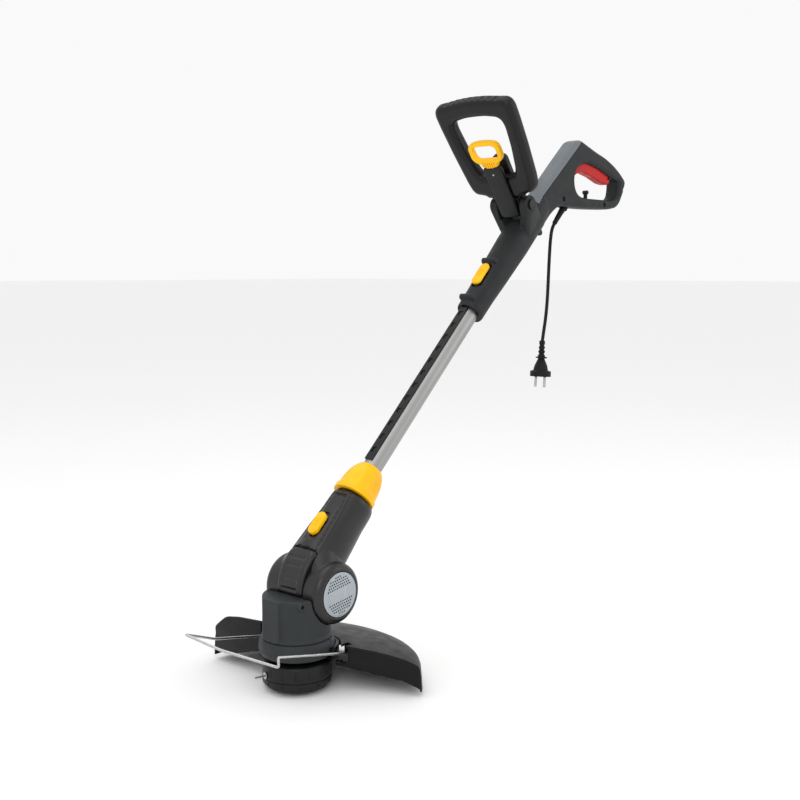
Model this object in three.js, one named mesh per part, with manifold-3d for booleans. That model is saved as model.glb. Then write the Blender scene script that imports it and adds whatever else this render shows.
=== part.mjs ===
// Electric string trimmer with a telescopic tube, a swivelling and tilting head and a folding front handle.
// Millimetres. +X runs from the cutting head to the user, +Y to the tool's right side, +Z up.
// Sizes are set in a tool frame whose origin is on the ground under the line spool.
// The finished group is moved so that the middle of the rear grip is the origin.
import * as THREE from "three";
import { mergeVertices } from "three/addons/utils/BufferGeometryUtils.js";
import Module from "manifold-3d";

const wasm = await Module();
wasm.setup();

// Driving dimensions
const GAP = 0.3; // clearance between neighbouring pieces
const GRIP = [760, 0, 785]; // middle of the rear grip bar
const TILT_AXLE = [31.2, 138.3]; // head's tilt axle, X and Z
const LEAN = THREE.MathUtils.degToRad(46.1); // tube's lean from vertical
const TUBE_FOOT = [3.4, 147]; // where the tube's axis crosses the motor's top, X and Z
const TUBE_R = 15;
const TUBE_WALL = 1.3;
const TUBE_END = 84; // lower end of the tube, measured along its own axis
const TUBE_TOP = 700;
const MOUTH = 536; // where the tube enters the upper housing
const HOUSING_R = 28;
const HOUSING_TOP = 812;
const STRIP_W = 14; // notched strip on the tube
const STRIP_H = 2.2;
const STRIP_PITCH = 26;
const SHELL_HALF = 16; // half the width of the rear handle
const SPLIT = GAP / 2; // each shell stops this far from the centre plane
const AUX_PIVOT = [508, 700]; // front handle's axle, X and Z
const AUX_TILT = THREE.MathUtils.degToRad(-36); // front handle's lean towards the head
const AUX_THICK = 28;
const NECK_TOP = 155.5;
const NECK_R = 44; // radius of the fork cheeks
const CHEEK_IN = 25.6; // inner face of a cheek
const CHEEK_OUT = 56;
const KNUCKLE_ROOM = 66.5; // the neck is open round the knuckle cover out to this radius
const HEAD_R = 48.5; // motor housing
const HEAD_TOP = 137;
const HEAD_LOW = 76;
const FLANGE_R = 54;
const GUARD_HUB_R = 55;
const SPOOL_R = 49.5;
const CORD_R = 3;

const finishes = {
  dark: [0x35383a, 0.55, 0.05],
  black: [0x1c1d1e, 0.5, 0.05],
  gloss: [0x26282a, 0.32, 0.05],
  grey: [0x989fa6, 0.45, 0.1],
  silver: [0xb4b7b9, 0.35, 0.7],
  steel: [0xbfc2c4, 0.3, 0.9],
  yellow: [0xf8b90c, 0.4, 0.0],
  red: [0xc02420, 0.4, 0.0],
  rubber: [0x1a1a1b, 0.75, 0.0],
  copper: [0xb06a3c, 0.4, 0.8],
  line: [0xd0662a, 0.5, 0.0],
};

// Solids from three.js geometry
function solid(geometry) {
  const bare = geometry.index ? geometry.toNonIndexed() : geometry.clone();
  bare.deleteAttribute("normal");
  bare.deleteAttribute("uv");
  const merged = mergeVertices(bare, 1e-4);
  const mesh = new wasm.Mesh({
    numProp: 3,
    vertProperties: new Float32Array(merged.attributes.position.array),
    triVerts: new Uint32Array(merged.index.array),
  });
  return new wasm.Manifold(mesh);
}

function placed(geometry, position = [0, 0, 0], rotation = [0, 0, 0]) {
  const matrix = new THREE.Matrix4().makeRotationFromEuler(new THREE.Euler(...rotation));
  matrix.setPosition(...position);
  geometry.applyMatrix4(matrix);
  return solid(geometry);
}

// A block given by its lowest and highest corners
function block(low, high) {
  const size = high.map((v, i) => v - low[i]);
  const middle = high.map((v, i) => (v + low[i]) / 2);
  return placed(new THREE.BoxGeometry(...size), middle);
}

// A cylinder along Y
function rodY(r, y0, y1, x, z, sides = 32, r2 = r) {
  const geometry = new THREE.CylinderGeometry(r2, r, y1 - y0, sides);
  return placed(geometry, [x, (y0 + y1) / 2, z]);
}

// A solid turned about Z from [radius, height] points that run counter-clockwise
function turned(points, sides = 40) {
  const profile = points.map(([r, z]) => new THREE.Vector2(r, z));
  const geometry = new THREE.LatheGeometry(profile, sides);
  geometry.rotateX(Math.PI / 2);
  return solid(geometry);
}

// An outline in X and Y, extruded along Z
function plateZ(points, z0, z1) {
  const geometry = new THREE.ExtrudeGeometry(shapeOf(points), { depth: z1 - z0, bevelEnabled: false });
  geometry.translate(0, 0, z0);
  return solid(geometry);
}

function rodZ(r, z0, z1, x = 0, y = 0, sides = 24) {
  return turned([[0, z0], [r, z0], [r, z1], [0, z1]], sides).translate([x, y, 0]);
}

function ring(rIn, rOut, z0, z1, sides = 40) {
  return turned([[rIn, z0], [rOut, z0], [rOut, z1], [rIn, z1], [rIn, z0]], sides);
}

// An outline in X and Z, extruded along Y, with an optional rounded edge
function plateY(points, y0, y1, edge = 0, steps = 2) {
  const shape = points instanceof THREE.Shape ? points : new THREE.Shape(points.map(([x, z]) => new THREE.Vector2(x, z)));
  const geometry = new THREE.ExtrudeGeometry(shape, {
    depth: y1 - y0 - 2 * edge,
    bevelEnabled: edge > 0,
    bevelThickness: edge,
    bevelSize: edge,
    bevelOffset: -edge,
    bevelSegments: steps,
    curveSegments: 8,
  });
  geometry.rotateX(Math.PI / 2);
  geometry.translate(0, y1 - edge, 0);
  return solid(geometry);
}

// An outline in Y and Z, extruded along X
function plateX(shape, x0, x1, edge = 0, steps = 2) {
  const geometry = new THREE.ExtrudeGeometry(shape, {
    depth: x1 - x0 - 2 * edge,
    bevelEnabled: edge > 0,
    bevelThickness: edge,
    bevelSize: edge,
    bevelOffset: -edge,
    bevelSegments: steps,
    curveSegments: 8,
  });
  geometry.rotateX(Math.PI / 2);
  geometry.rotateZ(Math.PI / 2);
  geometry.translate(x0 + edge, 0, 0);
  return solid(geometry);
}

// A rod of constant section along a curve
function swept(curve, radius, sides, steps) {
  const shape = new THREE.Shape();
  for (let i = 0; i < sides; i += 1) {
    const angle = (i / sides) * Math.PI * 2;
    const x = radius * Math.cos(angle);
    const y = radius * Math.sin(angle);
    if (i === 0) shape.moveTo(x, y);
    else shape.lineTo(x, y);
  }
  return solid(new THREE.ExtrudeGeometry(shape, { steps, extrudePath: curve }));
}

function curveThrough(points, tension = 0.5) {
  return new THREE.CatmullRomCurve3(points.map((p) => new THREE.Vector3(...p)), false, "catmullrom", tension);
}

// A stadium outline, long along the second axis
function stadium(width, length) {
  const r = width / 2;
  const half = length / 2 - r;
  const shape = new THREE.Shape();
  shape.absarc(0, half, r, 0, Math.PI, false);
  shape.absarc(0, -half, r, Math.PI, Math.PI * 2, false);
  return shape;
}

// A smooth closed outline through points
function smoothOutline(points, count, tension = 0.5) {
  const curve = new THREE.CatmullRomCurve3(
    points.map(([a, b]) => new THREE.Vector3(a, b, 0)), true, "catmullrom", tension);
  return curve.getPoints(count).slice(0, count).map((p) => [p.x, p.y]);
}

function shapeOf(points) {
  return new THREE.Shape(points.map(([a, b]) => new THREE.Vector2(a, b)));
}

// The whole model, with a group for each tilted frame
const trimmer = new THREE.Group();
const tool = new THREE.Group();
tool.position.set(-GRIP[0], -GRIP[1], -GRIP[2]);
trimmer.add(tool);

const shaftOrigin = [TUBE_FOOT[0], 0, TUBE_FOOT[1]];
const shaft = new THREE.Group(); // local +Z runs up the tube, local -X is the tube's upper side
shaft.position.set(...shaftOrigin);
shaft.rotation.y = LEAN;
tool.add(shaft);

const aux = new THREE.Group(); // local +Z runs up the front handle, local -X is its front
aux.position.set(AUX_PIVOT[0], 0, AUX_PIVOT[1]);
aux.rotation.y = AUX_TILT;
tool.add(aux);

function add(parent, name, body, finish) {
  const data = body.getMesh();
  const geometry = new THREE.BufferGeometry();
  geometry.setAttribute("position", new THREE.BufferAttribute(new Float32Array(data.vertProperties), 3));
  geometry.setIndex(new THREE.BufferAttribute(new Uint32Array(data.triVerts), 1));
  geometry.computeVertexNormals();
  const [color, roughness, metalness] = finishes[finish];
  const mesh = new THREE.Mesh(geometry, new THREE.MeshStandardMaterial({ color, roughness, metalness }));
  mesh.name = name;
  parent.add(mesh);
}

// Moves a solid made in the shaft frame, or in the front handle's frame, into the tool frame
function tilted(body, lean, origin) {
  return body.rotate([0, THREE.MathUtils.radToDeg(lean), 0]).translate(origin);
}
const fromShaft = (body) => tilted(body, LEAN, shaftOrigin);

function leftHalf(body) {
  return body.intersect(block([-400, -200, -200], [1200, -SPLIT, 1200]));
}
function rightHalf(body) {
  return body.intersect(block([-400, SPLIT, -200], [1200, 200, 1200]));
}

// ---- Upper housing and rear handle ----
const HANDLE_OUTLINE = [
  [543, 696], [590, 742], [640, 787], [678, 820], [694, 824], [748, 807], [779, 799], [808, 788], [831, 776],
  [850, 762], [853, 756], [847, 738], [833, 716], [822, 708], [798, 704], [730, 702], [674, 702], [632, 704],
  [606, 690], [576, 662],
];
const LOOP_HOLE = [
  [679, 764], [677, 750], [680, 738], [687, 729], [700, 723], [726, 721], [800, 721], [816, 724],
  [825, 731], [828, 745], [828, 757], [800, 763], [760, 776], [718, 784], [694, 778],
];
const TRIGGER_OUTLINE = [
  [684, 759], [697, 765.5], [713, 767.5], [745, 761.5], [777, 751.5], [797, 749.5], [803, 753], [806, 764],
  [800, 770], [760, 783], [719, 790], [694, 783], [686, 773],
];
const TRIGGER_PIN = [799, 761];
const TRIGGER_HALF = 9;
const SWITCH_BOX = [[716, 797], [750, 806]];

function cornerCut(points, grow) {
  // moves each corner of an outline outwards by grow, along the bisector of its two sides
  const count = points.length;
  let area = 0;
  points.forEach(([x, z], i) => {
    const [nextX, nextZ] = points[(i + 1) % count];
    area += x * nextZ - nextX * z;
  });
  const turn = Math.sign(area);
  return points.map(([x, z], i) => {
    const [px, pz] = points[(i + count - 1) % count];
    const [nx, nz] = points[(i + 1) % count];
    const a = new THREE.Vector2(x - px, z - pz).normalize();
    const b = new THREE.Vector2(nx - x, nz - z).normalize();
    const out = new THREE.Vector2(a.y + b.y, -a.x - b.x).normalize();
    const stretch = 1 / Math.max(0.6, Math.abs(out.dot(new THREE.Vector2(a.y, -a.x))));
    return [x + turn * out.x * grow * stretch, z + turn * out.y * grow * stretch];
  });
}

const earOutline = new THREE.Shape();
earOutline.absarc(AUX_PIVOT[0], AUX_PIVOT[1], 15, Math.PI * 0.05, Math.PI * 0.98, false);
earOutline.lineTo(494, 672);
earOutline.lineTo(530, 640);
earOutline.lineTo(560, 672);

// ---- Mains lead: strain relief, cord and plug, hanging under the handle ----
const CORD_EXIT = [658, 698]; // where the relief leaves the handle, X and Z
const RELIEF_LENGTH = 34;
const RELIEF_TURN = THREE.MathUtils.degToRad(44); // lean of the relief from straight down, towards the head
const reliefEnd = [
  CORD_EXIT[0] - RELIEF_LENGTH * Math.sin(RELIEF_TURN),
  CORD_EXIT[1] - RELIEF_LENGTH * Math.cos(RELIEF_TURN),
];
// turns a solid made about Z, so that its top end sits at the exit and the rest leans towards the head
const atExit = (body) => body
  .rotate([0, THREE.MathUtils.radToDeg(RELIEF_TURN), 0])
  .translate([CORD_EXIT[0], 0, CORD_EXIT[1]]);
const relief = atExit(turned([
  [0, -RELIEF_LENGTH], [4.2, -RELIEF_LENGTH], [5.4, -6], [5.4, 4], [8, 4], [8, 8], [0, 8],
], 16));
const reliefRoom = atExit(turned([
  [0, -20], [5.8, -20], [5.8, 3.6], [8.4, 3.6], [8.4, 30], [0, 30],
], 16));
// centre line of the cord, from the relief's end to the plug, X and Z
const CORD_ROUTE = [
  [634.0, 673.1], [630.6, 669.0], [627.4, 663.6], [624.8, 655.6], [622.9, 645.0], [621.4, 632.0], [620.0, 612.0],
  [618.6, 590.0], [617.6, 568.0], [616.4, 546.0], [614.2, 524.0], [610.6, 502.0], [605.6, 481.0], [602.0, 466.9],
];

function handleSolid() {
  const loop = plateY(HANDLE_OUTLINE, -SHELL_HALF, SHELL_HALF, 5)
    .subtract(plateY(LOOP_HOLE, -30, 30));
  const barrel = fromShaft(turned([
    [0, MOUTH], [HOUSING_R - 3, MOUTH], [HOUSING_R, MOUTH + 5], [HOUSING_R, 770], [22, 806], [16, HOUSING_TOP], [0, HOUSING_TOP],
  ], 32));
  const saddleR = 24.5;
  const ears = [[-38, -23.2], [23.2, 38]].map(([y0, y1]) => plateY(earOutline, y0, y1, 2, 1));
  let body = loop.add(barrel);
  body = body.subtract(rodY(saddleR, -23, 23, AUX_PIVOT[0], AUX_PIVOT[1], 28));
  body = body.add(ears[0]).add(ears[1]);
  body = body.subtract(rodY(6, -60, 60, AUX_PIVOT[0], AUX_PIVOT[1], 24));
  // bore for the guide sleeve, then for the tube's top end
  body = body.subtract(fromShaft(rodZ(19.6, MOUTH - 5, 664, 0, 0, 28)));
  body = body.subtract(fromShaft(rodZ(19, 663, HOUSING_TOP - 8, 0, 0, 28)));
  // button well on the upper side, with the latch passage
  body = body.subtract(fromShaft(block([-40, -9.6, 578], [-15, 9.6, 630])));
  // room for trigger, switch, return spring and the cable run
  const triggerRoom = cornerCut(TRIGGER_OUTLINE, 1.2).map(([x, z]) => [x, z > 758 ? z + 2.5 : z]);
  body = body.subtract(plateY(triggerRoom, -TRIGGER_HALF - 0.6, TRIGGER_HALF + 0.6));
  body = body.subtract(block([712, -9.6, 784], [752, 9.6, 808]));
  body = body.subtract(rodY(2.3, -12.4, 12.4, ...TRIGGER_PIN, 14));
  body = body.subtract(block([694, -5, 782], [706, 5, 803]));
  body = body.subtract(plateY([[628, 712], [664, 708], [668, 760], [700, 806], [690, 812], [640, 776], [612, 745]], -11, 11));
  body = body.subtract(plateY([[680, 795], [714, 790], [714, 802], [690, 808]], -9, 9));
  // strain relief and its opening in the underside
  body = body.subtract(reliefRoom);
  return body;
}

// Screws that close the handle shells, set in from the left side: X, Z, outer face and tip
const HANDLE_SCREWS = [
  [843, 745, -13, 9], [640, 716, -13, 9], [776, 712, -13, 9],
];

const handle = HANDLE_SCREWS.reduce(
  (body, [x, z, y0, y1]) => body
    .subtract(rodY(2.3, y0 - 6, y1 + 0.6, x, z, 12))
    .subtract(rodY(4.4, -30, y0 + 2.8, x, z, 16)),
  handleSolid());
// pale cover panel: the top slice of the stem, let into the shells
const COVER_LOW = 786;
const COVER_DEPTH = 13.5; // the panel's underside, above the tube axis
const coverRoom = fromShaft(block([-60, -40, COVER_LOW - GAP], [-COVER_DEPTH + GAP, 40, 1000]));
const cover = handle.intersect(fromShaft(block([-60, -40, COVER_LOW], [-COVER_DEPTH, 40, 1000])));
const shells = handle.subtract(coverRoom);
add(tool, "handle_shell_left", leftHalf(shells), "dark");
add(tool, "handle_shell_right", rightHalf(shells), "dark");
add(tool, "handle_top_cover", cover, "grey");
HANDLE_SCREWS.forEach(([x, z, y0, y1], i) => {
  const screw = rodY(2, y0, y1, x, z, 10).add(rodY(4.1, y0, y0 + 2.4, x, z, 14));
  add(tool, `handle_screw_${i + 1}`, screw, "steel");
});

add(tool, "strain_relief", relief, "rubber");
const hook = rodY(3.6, -5, 5, 734.5, 733, 18).add(block([732, -3, 719.5], [737, 3, 733])).subtract(rodY(1.4, -6, 6, 734.5, 733, 12));
add(tool, "cord_hook", hook.intersect(block([700, -20, 721.4], [760, 20, 760])), "black");

const cordPoints = CORD_ROUTE.map(([x, z]) => [x, 0, z]);
add(tool, "mains_cord", swept(curveThrough(cordPoints), CORD_R, 8, 16), "rubber");

const PLUG_TURN = 4; // degrees that the plug leans
const atPlug = (body) => body.rotate([0, PLUG_TURN, 0]).translate([601.8, 0, 466]);
const plugBody = turned([
  [0, -64], [18.5, -64], [18.5, -54], [13, -53], [11, -44], [5.5, -32], [10.3, -31], [10.3, -29.2], [6.4, -28.6],
  [5, 0], [0, 0],
], 24);
add(tool, "plug_body", atPlug(plugBody), "rubber");
[-9.5, 9.5].forEach((y, i) => {
  add(tool, `plug_pin_${i + 1}`, atPlug(rodZ(2.4, -83, -64.3, 0, y, 12)), "silver");
});

// ---- Trigger, switch and return spring ----
const trigger = plateY(TRIGGER_OUTLINE, -TRIGGER_HALF, TRIGGER_HALF, 2, 1)
  .subtract(rodY(2.3, -20, 20, ...TRIGGER_PIN, 16));
add(tool, "trigger", trigger, "red");
add(tool, "trigger_pin", rodY(2, -12, 12, ...TRIGGER_PIN, 14), "steel");
add(tool, "power_switch", block([714, -8, 794.5], [750, 8, 806]).add(block([722, -3, 792.8], [728, 3, 796])), "black");
add(tool, "trigger_spring", ring(2, 3.4, 785.6, 796, 12).translate([700, 0, 5.4]), "steel");

// ---- Tube guide sleeve and telescope button ----
const BUTTON_S = 604; // middle of the telescope button, along the tube
const BUTTON_LENGTH = 46;
const BUTTON_W = 18;
const stripSlot = (z0, z1) => block([-20, -STRIP_W / 2 - 0.6, z0], [0, STRIP_W / 2 + 0.6, z1]);
const sleeve = ring(15.7, 19.2, MOUTH + 3, 660, 28)
  .subtract(stripSlot(MOUTH, 661));
add(shaft, "tube_guide_sleeve", sleeve, "black");
const buttonAt = (body) => body.translate([0, 0, BUTTON_S]);
const teleButton = buttonAt(plateX(stadium(BUTTON_W, BUTTON_LENGTH), -33, -25.5, 2, 1)
  .add(block([-26, -3, -4], [-21.5, 3, 4])));
add(shaft, "telescope_button", teleButton, "yellow");
add(shaft, "telescope_spring", buttonAt(plateX(stadium(6, 8), -25.2, -20.4).translate([0, 0, 14])), "steel");

// ---- Tube with its notched strip and core cable ----
add(shaft, "tube", ring(TUBE_R - TUBE_WALL, TUBE_R, TUBE_END, TUBE_TOP, 36), "silver");
const stripLow = 218;
let strip = block([-TUBE_R - STRIP_H, -STRIP_W / 2, stripLow], [-TUBE_R + 3, STRIP_W / 2, TUBE_TOP])
  .subtract(rodZ(TUBE_R + GAP, 200, 720, 0, 0, 36));
for (let z = stripLow + 18; z < TUBE_TOP - 10; z += STRIP_PITCH) {
  strip = strip.subtract(block([-20, -3.4, z - 4.6], [-TUBE_R - 0.9, 3.4, z + 4.6]));
}
add(shaft, "notched_strip", strip, "black");
add(shaft, "core_cable", rodZ(3.5, TUBE_END - 4, 690, 0, 0, 12), "rubber");

// ---- Twist collar ----
let collar = turned([
  [15.6, 200.4], [25, 200], [25, NECK_TOP + 0.6], [33, NECK_TOP + 0.6], [33, 162], [31.6, 163.4], [29.6, 180], [26, 200], [21.5, 211],
  [18, 215.5], [15.6, 215.5], [15.6, 200.4],
], 36);
for (let i = 0; i < 12; i += 1) {
  const angle = (i / 12) * Math.PI * 2;
  const groove = turned([[0, 158], [4, 164], [4, 210], [0, 220]], 6)
    .translate([34.4, 0, 0]).rotate([0, 0, THREE.MathUtils.radToDeg(angle)]);
  collar = collar.subtract(groove.intersect(ring(20, 60, 166, 230)));
}
add(shaft, "twist_collar", collar, "yellow");

// ---- Neck: two shells that end in the fork cheeks ----
const axleOffset = [TILT_AXLE[0] - TUBE_FOOT[0], TILT_AXLE[1] - TUBE_FOOT[1]];
const PIVOT = [ // the tilt axle in the shaft frame, X and Z
  axleOffset[0] * Math.cos(LEAN) - axleOffset[1] * Math.sin(LEAN),
  axleOffset[0] * Math.sin(LEAN) + axleOffset[1] * Math.cos(LEAN),
];
const neckOuter = turned([
  [0, 40], [43, 40], [43.5, 58], [42, 82], [38.5, 108], [33, 138], [31, NECK_TOP], [24.5, NECK_TOP], [24.5, 199], [0, 199],
], 36);
const drum = turned([
  [0, 0], [NECK_R, 0], [NECK_R, CHEEK_OUT - 9], [40, CHEEK_OUT - 3], [34.5, CHEEK_OUT], [0, CHEEK_OUT],
], 36).rotate([-90, 0, 0]).translate([PIVOT[0], 0, PIVOT[1]]);
// fork arm in side view: from the cheek's circle up to the neck's own width
const armOutline = [[-38, 95], [-38, 78]];
for (let i = 0; i <= 12; i += 1) {
  const angle = Math.PI * (1 + i / 12);
  armOutline.push([PIVOT[0] + NECK_R * Math.cos(angle), PIVOT[1] + NECK_R * Math.sin(angle)]);
}
armOutline.push([42, 78], [38, 95]);
let neck = neckOuter
  .add(plateY(armOutline, -41, 41, 8))
  .add(drum).add(drum.mirror([0, 1, 0]))
  .subtract(rodY(KNUCKLE_ROOM, -CHEEK_IN, CHEEK_IN, ...PIVOT, 48))
  .subtract(rodZ(TUBE_R + GAP, TUBE_END - 1, 205, 0, 0, 32))
  .subtract(rodZ(8, 60, 90, 0, 0, 16))
  .subtract(turned([[0, 98], [30, 98], [26, 132], [0, 132]], 20))
  .subtract(rodY(8.3, -47, 47, ...PIVOT, 24));
[[-60, -CHEEK_OUT + 3.3], [CHEEK_OUT - 3.3, 60]].forEach(([y0, y1]) => {
  neck = neck.subtract(rodY(32.4, y0, y1, ...PIVOT, 32));
});
[[-53, -47], [47, 53]].forEach(([y0, y1]) => {
  neck = neck.subtract(rodY(29, y0, y1, ...PIVOT, 24));
});
const TILT_BUTTON_S = 86;
neck = neck
  .subtract(plateX(stadium(18.6, 39.2), -60, -33).translate([0, 0, TILT_BUTTON_S]))
  .subtract(block([-40, -3.6, TILT_BUTTON_S - 5], [-28, 3.6, TILT_BUTTON_S + 5]));
add(shaft, "neck_shell_left", leftHalf(neck), "gloss");
add(shaft, "neck_shell_right", rightHalf(neck), "gloss");
const tiltButton = plateX(stadium(17.5, 38), -45, -36.5, 2, 1).add(block([-37, -3, -4], [-33, 3, 4]));
add(shaft, "tilt_button", tiltButton.translate([0, 0, TILT_BUTTON_S]), "yellow");
add(shaft, "tilt_button_spring", plateX(stadium(6, 8), -36.2, -33.3).translate([0, 0, TILT_BUTTON_S + 12]), "steel");
add(shaft, "tilt_axle", rodY(8, -46.5, 46.5, ...PIVOT, 24), "steel");
[[-CHEEK_OUT - 0.6, -CHEEK_OUT + 3], [CHEEK_OUT - 3, CHEEK_OUT + 0.6]].forEach(([y0, y1], i) => {
  let disc = rodY(31.9, y0, y1, 0, 0, 32);
  for (const row of [-22, -14, 14, 22]) {
    const reach = Math.sqrt(27 * 27 - row * row);
    disc = disc.subtract(block([-reach, y0 - 2, row - 2], [reach, y1 + 2, row + 2]));
  }
  disc = disc.rotate([0, -46.1, 0]).translate([PIVOT[0], 0, PIVOT[1]]);
  add(shaft, i === 0 ? "vent_disc_left" : "vent_disc_right", disc, "silver");
});

// ---- Motor head ----
let motorHousing = turned([
  [0, HEAD_LOW], [HEAD_R + 2, HEAD_LOW], [HEAD_R, HEAD_LOW + 5], [HEAD_R, HEAD_TOP - 2], [HEAD_R - 2, HEAD_TOP], [0, HEAD_TOP],
], 40);
motorHousing = motorHousing
  .subtract(rodY(NECK_R + 1, -120, -CHEEK_IN + 0.6, ...TILT_AXLE, 40))
  .subtract(rodY(NECK_R + 1, CHEEK_IN - 0.6, 120, ...TILT_AXLE, 40))
  .subtract(rodY(8.4, -60, 60, ...TILT_AXLE, 24))
  .subtract(rodZ(45, HEAD_LOW - 1, 98, 0, 0, 28))
  .subtract(rodZ(24.6, 97, 129.5, 0, 0, 24))
  .subtract(rodY(2.4, -60, -30, -28, 130.5, 12));
add(tool, "motor_housing_left", leftHalf(motorHousing), "dark");
add(tool, "motor_housing_right", rightHalf(motorHousing), "dark");

// the knuckle cover's side view: angle round the tilt axle in degrees, and radius
const KNUCKLE_HALF = CHEEK_IN - 0.6;
const KNUCKLE_PROFILE = [
  [181, 47.5], [165, 48], [150, 49.5], [135, 52.5], [120, 56.5], [107, 62.5], [101, 61.5], [97, 44], [80, 42], [60, 42], [40, 42],
  [20, 42], [-1, 42],
];
const knuckleOutline = KNUCKLE_PROFILE.map(([degrees, radius]) => {
  const angle = THREE.MathUtils.degToRad(degrees);
  return [TILT_AXLE[0] + radius * Math.cos(angle), Math.max(HEAD_TOP + GAP, TILT_AXLE[1] + radius * Math.sin(angle))];
});
let knuckle = plateY(knuckleOutline, -KNUCKLE_HALF, KNUCKLE_HALF, 2, 1)
  .intersect(block([-100, -30, HEAD_TOP + GAP], [100, 30, 260]))
  .subtract(rodY(8.4, -40, 40, ...TILT_AXLE, 24));
for (let i = 0; i < 4; i += 1) {
  const angle = THREE.MathUtils.degToRad(168 - i * 14);
  const radius = 49.6 + i * 1.9;
  knuckle = knuckle.subtract(
    rodY(2.6, -15, 15, TILT_AXLE[0] + radius * Math.cos(angle), TILT_AXLE[1] + radius * Math.sin(angle), 10));
}
add(tool, "knuckle_cover", knuckle, "dark");

let flange = turned([
  [40, 51], [FLANGE_R - 1, 51], [FLANGE_R, 54], [FLANGE_R, 70], [HEAD_R + 2.5, HEAD_LOW - GAP], [12, HEAD_LOW - GAP], [12, 70],
  [40, 70], [40, 51],
], 36);
const GUARD_SCREWS = [[46, 24], [46, -24]];
GUARD_SCREWS.forEach(([x, y]) => {
  flange = flange.subtract(rodZ(1.9, 40, 66, x, y, 12));
});
add(tool, "flange_ring", flange, "dark");

// motor: can, armature on its shaft, two bearings, fan
add(tool, "motor_can", turned([
  [22.2, 88], [24.2, 88], [24.2, 129], [8.4, 129], [8.4, 126.5], [22.2, 126.5], [22.2, 88],
], 24), "steel");
const bearing = (z) => ring(4.3, 8, z, z + 6, 24);
add(tool, "upper_bearing", bearing(120.2), "steel");
add(tool, "lower_bearing", ring(4.3, 11.6, 70.4, 75.4, 24), "steel");
add(tool, "armature", ring(4.3, 20, 92, 117, 24), "copper");
add(tool, "motor_shaft", rodZ(4, 24, 126, 0, 0, 16), "steel");
let fan = ring(4.3, 10, 78, 86, 14);
for (let i = 0; i < 8; i += 1) {
  fan = fan.add(block([8, -0.8, 78], [36, 0.8, 86]).rotate([0, 0, i * 45]));
}
add(tool, "cooling_fan", fan.add(ring(4.3, 36, 77.4, 78.6, 20)), "black");

// ---- Guard ----
const GUARD_STRETCH = 1.12; // the guard is wider across than it is deep
const GUARD_SHIFT = -6;
let guard = turned([
  [40, 60], [60, 62], [100, 57.5], [137, 49.5], [155, 41], [158, 36], [160, 8], [163, 8], [161, 36], [158, 44], [138, 53],
  [100, 61], [60, 66], [40, 64], [40, 60],
], 52).scale([1, GUARD_STRETCH, 1]).translate([0, GUARD_SHIFT, 0]);
// open front: the guard covers from the near side round the back to the far side
const FRONT_CUT = [[0, 0], [260 * Math.cos(-1.08), 260 * Math.sin(-1.08)], [-300, -300], [-300, 300], [-14, 300]];
guard = guard.subtract(plateZ(FRONT_CUT, -10, 120)).subtract(rodZ(GUARD_HUB_R, -10, 120, 0, 0, 56));
// a half ring under the flange carries the two guard screws and the wire's pivots
guard = guard.add(ring(41, 60, 47, 50.6, 48).add(ring(GUARD_HUB_R, 60, 47, 64, 48)).intersect(block([14, -90, 0], [90, 90, 90])));
GUARD_SCREWS.forEach(([x, y]) => {
  guard = guard.subtract(rodZ(2.2, 40, 55, x, y, 12));
});
const WIRE_PIVOT = [51, 50]; // where the wire guard hinges, X and Z
const WIRE_HALF = 61;
const WIRE_R = 1.9;
[[-58.6, -50], [50, 58.6]].forEach(([y0, y1]) => {
  guard = guard
    .subtract(block([-20, Math.sign(y0) * 61 - 4.5, 40], [46, Math.sign(y0) * 61 + 4.5, 80]))
    .add(rodY(5.5, y0, y1, ...WIRE_PIVOT, 14))
    .add(block([45.5, y0, 50], [56.5, y1, 64]))
    .subtract(rodY(WIRE_R + 0.5, y0 - 1, y1 + 1, ...WIRE_PIVOT, 12));
});
guard = guard.subtract(block([150, 29.7, 11.7], [156.4, 33.3, 30.3]));
add(tool, "guard", guard, "black");
GUARD_SCREWS.forEach(([x, y], i) => {
  const screw = rodZ(1.6, 46, 60, x, y, 10).add(rodZ(3.4, 44.6, 46.7, x, y, 12));
  add(tool, `guard_screw_${i + 1}`, screw, "steel");
});

// blade that trims the line, let into the guard's skirt
add(tool, "line_cutter", plateZ([[128, 30], [156, 30], [156, 33], [131, 33]], 12, 30), "steel");

// ---- Wire guard ----
const WIRE_ROUTE = [
  [51, -52, 50], [51, -60, 50], [48.6, -61, 50.5], [30, -61, 54.6], [-40, -61, 69.9], [-86, -61, 79.9], [-90.4, -61, 80],
  [-91.2, -61, 77], [-89.6, -60.6, 68.5], [-90.6, -58, 66.4], [-108, -26, 73], [-128, 18, 84.5], [-145.4, 57.6, 97.2],
  [-147, 60.6, 98.4], [-144, 61.4, 97.6], [-98, 61, 80.5], [-16.5, 61, 64.5], [30, 61, 54.6], [48.6, 61, 50.5],
  [51, 60, 50], [51, 52, 50],
];
const wireCurve = new THREE.CatmullRomCurve3(WIRE_ROUTE.map((p) => new THREE.Vector3(...p)), false, "centripetal");
add(tool, "wire_guard", swept(wireCurve, WIRE_R, 6, 76), "steel");

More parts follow.
